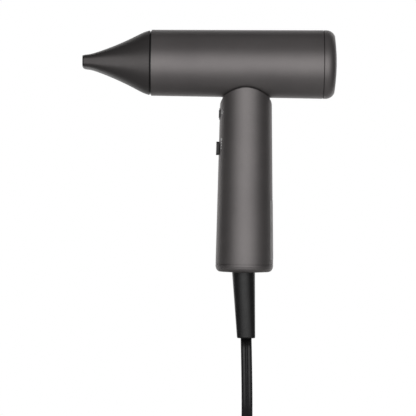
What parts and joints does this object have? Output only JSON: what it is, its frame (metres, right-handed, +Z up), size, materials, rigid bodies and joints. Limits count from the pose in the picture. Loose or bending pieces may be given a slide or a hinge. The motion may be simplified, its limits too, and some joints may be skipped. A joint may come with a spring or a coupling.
{
  "type": "hair dryer",
  "caption": "Slim T-shaped hand-held hair dryer with a slot nozzle that turns and pulls off, a removable rear filter cover, a button and a slide switch on the grip, and a corded base.",
  "frame": {"origin": "on the grip's axis at the middle of the hand's grip, 105 mm below the barrel's axis", "axes": "+Z up the grip towards the barrel, +X along the barrel towards the air inlet, so air leaves towards -X; Y is across the object, whose mirror plane is Y = 0"},
  "size_m": [0.1872, 0.1532, 0.3361],
  "materials": {
    "gunmetal": "satin",
    "black_satin": "satin",
    "black_gloss": "gloss",
    "steel": "satin",
    "magnet": "polished",
    "mica": "matt",
    "heating_wire": "satin",
    "ceramic": "matt",
    "grey_plastic": "satin",
    "white_plastic": "satin",
    "aluminium": "satin",
    "copper": "varnished",
    "board": "satin",
    "rubber": "matt",
    "mesh": "woven",
    "label": "satin",
    "cord": "gloss",
    "blade": "nickel plated"
  },
  "bodies": {
    "dryer": {"barrel_shell": "gunmetal", "front_ring": "black_satin", "outlet_grille": "black_satin", "ion_emitter": "ceramic", "heat_tube": "mica", "heater_frame": "mica", "heater_coil": "heating_wire", "thermal_cutout": "steel", "inner_duct": "grey_plastic", "motor_mount": "rubber", "motor_housing": "aluminium", "stator_core": "steel", "stator_windings": "copper", "bearing_front": "steel", "bearing_rear": "steel", "motor_bracket": "aluminium", "inlet_bell": "grey_plastic", "inlet_ring": "black_satin", "barrel_magnets": "magnet", "handle_shell": "gunmetal", "neck_gasket": "rubber", "neck_tube": "black_satin", "chassis": "black_satin", "main_board": "board", "capacitor": "black_gloss", "transformer": "grey_plastic", "choke": "copper", "heat_sink": "aluminium", "board_chips": "black_satin", "connector": "white_plastic", "switch_board": "board", "tact_switch": "black_satin", "slide_body": "steel", "button_bezel": "black_gloss", "rating_plate": "label", "base_cap": "gunmetal", "strain_relief": "rubber", "supply_leads": "white_plastic", "cord_clamp": "black_satin", "clamp_screws": "steel", "power_cord": "cord", "cord_coil": "cord", "cord_tie": "rubber", "plug_body": "cord", "plug_blades": "blade"},
    "nozzle_seat": {"nozzle_collar": "black_satin", "nozzle_magnets": "magnet"},
    "nozzle": {"nozzle_shell": "gunmetal", "nozzle_lip": "black_satin"},
    "rear_cover": {"rear_cap": "gunmetal", "rear_grille": "black_gloss", "filter_mesh": "mesh", "cap_magnets": "magnet"},
    "fan": {"rotor_shaft": "steel", "rotor_magnet": "magnet", "impeller": "grey_plastic"},
    "mode_button": {"mode_button": "gunmetal"},
    "slide_switch": {"slide_knob": "black_satin", "knob_plate": "gunmetal", "slide_carrier": "black_satin"}
  },
  "joints": [
    {"name": "nozzle_pull", "type": "slide", "parent": "dryer", "child": "nozzle_seat", "axis": [-1, 0, 0], "range_m": [0, 0.03]},
    {"name": "nozzle_spin", "type": "hinge", "parent": "nozzle_seat", "child": "nozzle", "pos_m": [-0.0712, 0, 0.105], "axis": [1, 0, 0], "continuous": true},
    {"name": "rear_cover_pull", "type": "slide", "parent": "dryer", "child": "rear_cover", "axis": [1, 0, 0], "range_m": [0, 0.02]},
    {"name": "fan_spin", "type": "hinge", "parent": "dryer", "child": "fan", "pos_m": [0.02, 0, 0.105], "axis": [1, 0, 0], "continuous": true},
    {"name": "mode_button_press", "type": "slide", "parent": "dryer", "child": "mode_button", "axis": [1, 0, 0], "range_m": [0, 0.0009], "stiffness_N_per_m": 1200, "springref_m": -0.0005},
    {"name": "slide_switch_move", "type": "slide", "parent": "dryer", "child": "slide_switch", "axis": [0, 0, 1], "range_m": [0, 0.0041]}
  ]
}
